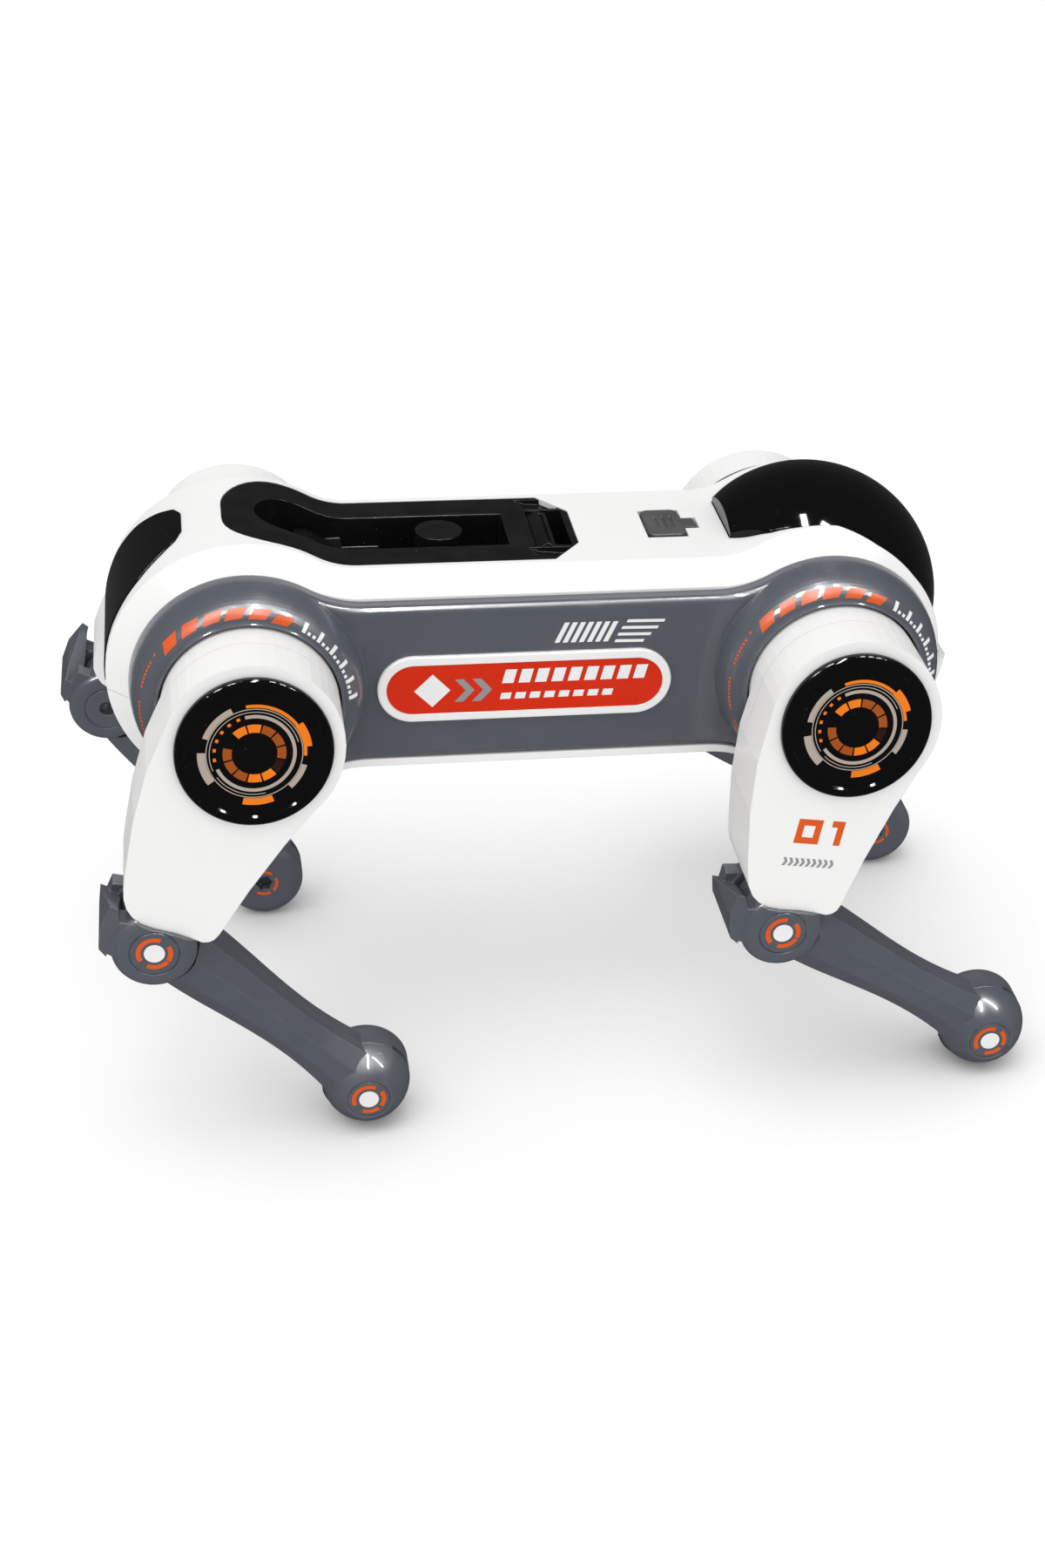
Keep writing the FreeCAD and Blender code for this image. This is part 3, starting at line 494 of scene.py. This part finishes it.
def dome_marks(centre_x):
    marks = []
    for around, over in BLOCKS:
        marks += dome_patch("orange", centre_x, around - BLOCK_HALF, around + BLOCK_HALF,
                            over - BLOCK_BELOW, over + BLOCK_ABOVE, slant=BLOCK_SLANT)
    for k, around in enumerate(LONG_TICKS):
        marks += dome_patch("white", centre_x, around - TICK_HALF, around + TICK_HALF,
                            TICK_FROM, TICK_TO)
        if k + 1 < len(LONG_TICKS):
            for step in SHORT_TICK_STEPS:
                marks += dome_patch("white", centre_x, around - step - SHORT_TICK_HALF,
                                    around - step + SHORT_TICK_HALF, SHORT_TICK_FROM, TICK_TO)
    for a0, a1, t0, t1 in DASHES:
        pieces = max(1, round((a1 - a0) / DASH_PITCH))
        for k in range(pieces):
            start = a0 + (a1 - a0) * k / pieces
            marks += dome_patch("orange", centre_x, start,
                                start + (a1 - a0) / pieces * DASH_FILL, t0, t1)
    return marks


for side, word in ((-1, "right"), (1, "left")):
    marks = dome_marks(-HIP_X) + dome_marks(HIP_X)
    print_piece("dome_marks_" + word, marks, BODY[side], "torso")
    print("dome_marks_" + word, len(marks), "faces")

# %% [markdown]
# Between the domes the flat panel carries seven slanted white bars and a fan of four
# lines.  They are generic speed marks; the words beside them on such toys are left out.

# %% Speed marks on the panel
PANEL_Y = 47.0 + SKIN


def flat(points, y):
    return [(x, y, z) for x, z in points]


def panel_marks():
    marks = []
    for k in range(7):
        x = 4.2 + 3.1 * k
        drop = -0.03 * k
        outline = [(x, 15.4 + drop), (x + 1.9, 15.4 + drop), (x + 5.6, 23.8 + drop),
                   (x + 3.7, 23.8 + drop)]
        marks.append(("white", flat(outline, PANEL_Y)))
    for k, (left, right) in enumerate(((31.5, 46.4), (29.6, 44.0), (28.2, 41.4), (27.2, 38.8))):
        top = 24.0 - 2.75 * k
        outline = [(left, top - 1.0), (right - 0.5, top - 1.3), (right, top - 0.1),
                   (left + 0.5, top + 0.2)]
        marks.append(("white", flat(outline, PANEL_Y)))
    return marks


for side, word in ((-1, "right"), (1, "left")):
    piece = print_piece("panel_marks_" + word, panel_marks(), BODY[side], "torso")
    print(piece.name, len(piece.data.polygons), "faces")

# %% [markdown]
# The badge is a raised white border with a red floor.  The floor is its own sheet with a
# gloss of its own.  A white diamond and two grey arrows stand at its tail end, and the
# rest, where a name would be, holds plain slanted bars and a row of dashes.

# %% Badge faces
BADGE_X, BADGE_Z = -6.5, -1.7
BADGE_HALF, BADGE_RISE = 56.4 - 3.45, 13.8 - 3.45
BADGE_Y = 48.5 + SKIN
DIAMOND_X, DIAMOND_Z = -42.0, -2.3
BADGE_BARS, BADGE_BAR_START, BADGE_BAR_PITCH = 9, -15.6, 6.3
BADGE_DASHES, BADGE_DASH_START, BADGE_DASH_PITCH = 8, -16.2, 5.6


def pill_outline(half_length, half_height, cx, cz, steps=20):
    points = []
    for end, start in ((1, -90), (-1, 90)):
        for k in range(steps + 1):
            a = math.radians(start + 180 * k / steps)
            points.append((cx + end * (half_length - half_height) + half_height * math.cos(a),
                           cz + half_height * math.sin(a)))
    return points


def arrow(x, z, width, height, thick):
    """An open chevron that points to +X, as two strokes."""
    tip = x + width
    top, bottom = z + height / 2, z - height / 2
    upper = [(x, top), (x + thick, top), (tip, z), (tip - thick, z)]
    lower = [(x, bottom), (x + thick, bottom), (tip, z), (tip - thick, z)]
    return [upper, lower]


def badge_marks():
    marks = [("red", flat(pill_outline(BADGE_HALF, BADGE_RISE, BADGE_X, BADGE_Z), BADGE_Y))]
    ink_y = BADGE_Y + SKIN
    cx, cz = DIAMOND_X, DIAMOND_Z
    diamond = [(cx - 7.0, cz), (cx, cz + 7.0), (cx + 6.8, cz), (cx, cz - 7.0)]
    marks.append(("white", flat(diamond, ink_y)))
    for x in (-33.6, -26.9):
        for stroke in arrow(x, -2.6, 7.6, 9.6, 3.4):
            marks.append(("grey", flat(stroke, ink_y)))
    for k in range(BADGE_BARS):
        x = BADGE_BAR_START + BADGE_BAR_PITCH * k
        bar = [(x, -0.2), (x + 4.4, -0.2), (x + 5.8, 5.6), (x + 1.4, 5.6)]
        marks.append(("white", flat(bar, ink_y)))
    for k in range(BADGE_DASHES):
        x = BADGE_DASH_START + BADGE_DASH_PITCH * k
        dash = [(x, -7.0), (x + 3.9, -7.0), (x + 4.5, -4.3), (x + 0.6, -4.3)]
        marks.append(("white", flat(dash, ink_y)))
    return marks


for side, word in ((-1, "right"), (1, "left")):
    piece = print_piece("badge_face_" + word, badge_marks(), BODY[side], "torso")
    print(piece.name, len(piece.data.polygons), "faces")

# %% [markdown]
# The round cover on each hip carries a dial print: broken outer blocks, two hairline
# rings, a broad ring that turns into dots, and an inner ring of segments that fade from
# bright to dark.  It is drawn in polar form on the cover's own sloping face.

# %% Dial prints on the hip covers
COVER_LEAN = math.radians(5.6)
COVER_Y = 92.3
DIAL_Y = 2.1 + SKIN
DIAL_TURN = 25.0     # how far the print is turned on the cover, degrees


def on_cover(u, v):
    """A point of the dial, u forwards and v up, on the sloping cover."""
    turn = math.radians(DIAL_TURN)
    x = u * math.cos(turn) - v * math.sin(turn)
    w = u * math.sin(turn) + v * math.cos(turn)
    y = COVER_Y + DIAL_Y * math.cos(COVER_LEAN) - w * math.sin(COVER_LEAN)
    z = w * math.cos(COVER_LEAN) + DIAL_Y * math.sin(COVER_LEAN)
    return (x, y, z)


DIAL_BANDS = (
    ("sand", 17.15, 17.5, -5, 355),      # outer hairline
    ("sand", 16.0, 16.3, 14, 203),       # second hairline, over the top
    ("sand", 16.0, 16.3, 213, 284),      # and below
    ("sand", 13.8, 15.1, -157, 103),     # broad ring
    ("bright", 17.9, 19.1, 34, 99),      # thin outer arc
    ("bright", 17.7, 20.8, 6, 34),       # thick outer arc
    ("bright", 17.7, 18.9, -5, 6),
    ("sand", 17.6, 19.6, -47, -16),
    ("bright", 17.7, 20.4, -103, -70),
    ("sand", 17.6, 20.5, 177, 215),
    ("sand", 17.6, 19.7, 115, 160),
)
SEGMENT_INK = {0: "amber", 30: "amber", 60: "amber", 90: "bright", 120: "bright",
               180: "amber", 210: "amber", 240: "amber", 270: "bright", 300: "bright",
               330: "ember"}
SEGMENT_IN, SEGMENT_OUT, SEGMENT_HALF = 8.2, 11.4, 13.2
DOTS, DOT_START, DOT_PITCH = 6, 113, 15
DOT_IN, DOT_OUT, DOT_HALF = 13.9, 15.0, 2.6


def dial_marks():
    marks = []
    for ink, r0, r1, a0, a1 in DIAL_BANDS:
        marks += sector(ink, r0, r1, a0, a1, on_cover)
    for angle, ink in SEGMENT_INK.items():
        marks += sector(ink, SEGMENT_IN, SEGMENT_OUT, angle - SEGMENT_HALF,
                        angle + SEGMENT_HALF, on_cover)
    for k in range(DOTS):
        angle = DOT_START + DOT_PITCH * k
        marks += sector("bright", DOT_IN, DOT_OUT, angle - DOT_HALF, angle + DOT_HALF, on_cover)
    return marks


for leg in LEGS:
    piece = print_piece("dial_" + leg, dial_marks(), THIGH[leg], "thigh_" + leg)
    print(piece.name, len(piece.data.polygons), "faces")

# %% [markdown]
# The knee and the foot each have a small target on the outside: a white dot inside three
# orange arcs.  On the inner side of the foot the arcs run round the screw recess.

# %% Targets on knees and feet
KNEE_FACE = 102.0 + SKIN
FOOT_FACE = 95.2 + SKIN
FOOT_BACK = 66.0 - SKIN


def target(centre_x, y, arcs, r0, r1, dot=3.9):
    def place(u, v):
        return (centre_x + u, y, v)

    marks = []
    for a0, a1 in arcs:
        marks += sector("orange", r0, r1, a0, a1, place, step=8.0)
    if dot:
        for k in range(0, 360, 15):
            marks += sector("white", 0.4, dot, k, k + 15, place, step=15.0)
        ring = [(0.4 * math.cos(math.radians(a)), 0.4 * math.sin(math.radians(a)))
                for a in range(0, 360, 15)]
        marks.append(("white", [place(u, v) for u, v in ring]))
    return marks


KNEE_ARCS = ((92, 236), (-9, 54), (-93, -14))
FOOT_ARCS = ((108, 250), (10, 80), (-70, -5))
for leg in LEGS:
    knee_place = THIGH[leg].copy()
    knee_place.translation = SHIN[leg].translation
    marks = target(0.0, KNEE_FACE, KNEE_ARCS, 5.1, 6.9)
    print_piece("knee_target_" + leg, marks, knee_place, "thigh_" + leg)
    marks = target(SHIN_LENGTH, FOOT_FACE, FOOT_ARCS, 5.1, 6.8)
    print_piece("foot_target_" + leg, marks, SHIN[leg], "shin_" + leg)
    marks = target(SHIN_LENGTH, FOOT_BACK, FOOT_ARCS, 5.0, 6.3, dot=0)
    print_piece("foot_ring_" + leg, marks, SHIN[leg], "shin_" + leg, outwards=(0, -1, 0))
print("targets on", len(LEGS), "legs")

# %% [markdown]
# The front thighs carry a plain leg number with a row of nine small arrows under it.  The
# digits are strokes on a grid, as on a counter, so no font is needed.  Each stroke lies a
# hair higher than the last, because two faces that share one plane would flicker where
# they cross.  A left leg's coordinates mirror a right leg's and the digits are not turned
# back, so the 02 that is set for the left leg shows mirrored there.

# %% Leg numbers on the front thighs
STROKES = {
    "0": ((0, 0, 0, 4), (0, 4, 3, 4), (3, 4, 3, 0), (3, 0, 0, 0)),
    "1": ((2.2, 0, 2.2, 4), (1.2, 4, 2.2, 4)),
    "2": ((0, 4, 3, 4), (3, 4, 3, 2), (3, 2, 0, 2), (0, 2, 0, 0), (0, 0, 3, 0)),
}
DIGIT_WIDE, DIGIT_TALL = 2.33, 1.88  # grid steps of a digit, millimetres
DIGIT_PITCH = 10.6
STROKE = 1.3                         # half the width of a stroke
NUMBER_AT = (-6.9, -49.4)
NUMBER_TILT = math.radians(6.5)
NUMBER_SLANT = 0.06
STROKE_LIFT = 0.02                   # how much higher each stroke lies than the last
ARROWS, ARROW_START, ARROW_PITCH, ARROW_Z = 9, -3.4, 2.3, -9.2
ARROW_WIDTH, ARROW_HEIGHT, ARROW_THICK = 2.1, 3.4, 1.2


def on_thigh(u, v, lift=0.0):
    """A point on the thigh's sloping outer face, u forwards and v along the thigh."""
    return (u, COVER_Y - v * math.tan(COVER_LEAN) + SKIN + lift, v)


def stroke_outline(x0, z0, x1, z1, half):
    if abs(x1 - x0) > abs(z1 - z0):
        x0, x1 = min(x0, x1) - half, max(x0, x1) + half
        return [(x0, z0 - half), (x1, z0 - half), (x1, z0 + half), (x0, z0 + half)]
    z0, z1 = min(z0, z1) - half, max(z0, z1) + half
    return [(x0 - half, z0), (x0 + half, z0), (x0 + half, z1), (x0 - half, z1)]


def leg_number(text):
    cos_t, sin_t = math.cos(NUMBER_TILT), math.sin(NUMBER_TILT)

    def place(x, z, lift=0.0):
        x += NUMBER_SLANT * z
        return on_thigh(NUMBER_AT[0] + x * cos_t - z * sin_t,
                        NUMBER_AT[1] + x * sin_t + z * cos_t, lift)

    marks = []
    for k, digit in enumerate(text):
        for order, (x0, z0, x1, z1) in enumerate(STROKES[digit]):
            outline = stroke_outline(x0 * DIGIT_WIDE, z0 * DIGIT_TALL,
                                     x1 * DIGIT_WIDE, z1 * DIGIT_TALL, STROKE)
            marks.append(("orange", [place(x + DIGIT_PITCH * k, z, STROKE_LIFT * order)
                                     for x, z in outline]))
    for k in range(ARROWS):
        for stroke in arrow(ARROW_START + ARROW_PITCH * k, ARROW_Z,
                            ARROW_WIDTH, ARROW_HEIGHT, ARROW_THICK):
            marks.append(("grey", [place(x, z) for x, z in stroke]))
    return marks


for leg, text in (("front_right", "01"), ("front_left", "02")):
    piece = print_piece("leg_number_" + leg, leg_number(text), THIGH[leg], "thigh_" + leg)
    print(piece.name, text)

# %% [markdown]
# The setting is a plain pale floor with soft light from all round, which gives the white
# shell its even look.  Gloss needs something to reflect, and black gloss looks black only
# if most of what it reflects is dark, so mirror rays see a much darker room than diffuse
# rays do, and no floor.  Three lamp strips overhead give the short bright streaks.  They
# are left out of diffuse light, so their brightness sets the streaks alone.

# %% Floor, room light and lamps
bpy.context.scene.view_settings.view_transform = "Standard"
floor_mesh = bpy.data.meshes.new("floor")
FLOOR_HALF = 12.0
floor_mesh.from_pydata([(-FLOOR_HALF, -FLOOR_HALF, 0), (FLOOR_HALF, -FLOOR_HALF, 0),
                        (FLOOR_HALF, FLOOR_HALF, 0), (-FLOOR_HALF, FLOOR_HALF, 0)],
                       [], [(0, 1, 2, 3)])
floor = bpy.data.objects.new("floor", floor_mesh)
bpy.context.scene.collection.objects.link(floor)
paper, tree, shader = start_material("pale_floor")
tree.links.new(mix_colour(tree, noise(tree, node(tree, "ShaderNodeTexCoord").outputs["Object"],
                                      6.0, 2.0), (0.96, 0.96, 0.96, 1), (0.975, 0.975, 0.975, 1)),
               shader.inputs["Base Color"])
shader.inputs["Roughness"].default_value = 0.9
shader.inputs["Specular IOR Level"].default_value = 0.1
floor_mesh.materials.append(paper)
floor.visible_glossy = False

world = bpy.data.worlds.new("soft_room")
bpy.context.scene.world = world
world.use_nodes = True
sky = world.node_tree
background = sky.nodes["Background"]
background.inputs["Color"].default_value = (1, 1, 1, 1)
ROOM_LIGHT, GLOSSY_ROOM_LIGHT = 0.90, 0.06
dim = math_node(sky, "MULTIPLY", node(sky, "ShaderNodeLightPath").outputs["Is Glossy Ray"],
                GLOSSY_ROOM_LIGHT - ROOM_LIGHT)
sky.links.new(math_node(sky, "ADD", dim, ROOM_LIGHT), background.inputs["Strength"])


def place_light(name, data, place, look_at, seen_in_gloss=True):
    light = bpy.data.objects.new(name, data)
    bpy.context.scene.collection.objects.link(light)
    light.location = place
    direction = Vector(look_at) - Vector(place)
    light.rotation_euler = direction.to_track_quat("-Z", "Y").to_euler()
    light.visible_glossy = seen_in_gloss
    return light


def panel_lamp(name, place, look_at, size, power):
    data = bpy.data.lights.new(name, "AREA")
    data.shape = "RECTANGLE"
    data.size, data.size_y = size
    data.energy = power
    lamp = place_light(name, data, place, look_at)
    lamp.visible_diffuse = False
    return lamp


daylight = bpy.data.lights.new("soft_daylight", "SUN")
daylight.energy = 0.8
daylight.angle = math.radians(50)
place_light("soft_daylight", daylight, (-0.5, -0.35, 2.0), (0, 0, 0), seen_in_gloss=False)
STRIPS_MIDDLE, STRIP_SPACING = 0.06, 0.6
STRIP_Y, STRIP_Z = -0.34, 1.2
STRIP_SIZE, STRIP_POWER = (0.08, 0.9), 22
for k in range(3):
    x = STRIPS_MIDDLE + STRIP_SPACING * (k - 1)
    panel_lamp("strip_%d" % (k + 1), (x, STRIP_Y, STRIP_Z), (STRIPS_MIDDLE + x / 3, -0.05, 0.1),
               STRIP_SIZE, STRIP_POWER)

# %% [markdown]
# The camera stands to the robot's right, a little above it, and looks down at it with a
# mild tele lens.  Its place is written in body coordinates, so it follows the frame.

# %% Camera
VIEW_TURN, VIEW_DROP, VIEW_ROLL = (math.radians(a) for a in (9.047, 30.683, 2.035))
VIEW_DISTANCE = 992.324
VIEW_TARGET = Vector((1.422, 0.0, -74.281))
LENS = 55.195
back = Vector((-math.sin(VIEW_TURN) * math.cos(VIEW_DROP),
               -math.cos(VIEW_TURN) * math.cos(VIEW_DROP), math.sin(VIEW_DROP)))
level = Vector((math.cos(VIEW_TURN), -math.sin(VIEW_TURN), 0))
above = back.cross(level)
right = level * math.cos(VIEW_ROLL) + above * math.sin(VIEW_ROLL)
upward = above * math.cos(VIEW_ROLL) - level * math.sin(VIEW_ROLL)
turn = BODY[1].to_3x3() * (1 / MM)
pose = Matrix.Identity(4)
pose.col[0][:3] = turn @ right
pose.col[1][:3] = turn @ upward
pose.col[2][:3] = turn @ back
pose.col[3][:3] = BODY[1] @ (VIEW_TARGET + back * VIEW_DISTANCE)
camera_data = bpy.data.cameras.new("view_camera")
camera_data.sensor_fit = "VERTICAL"
camera_data.sensor_height = 36.0
camera_data.lens = LENS
camera = bpy.data.objects.new("view_camera", camera_data)
bpy.context.scene.collection.objects.link(camera)
camera.matrix_world = pose
bpy.context.scene.camera = camera
print("camera at", [round(v, 3) for v in camera.matrix_world.translation])
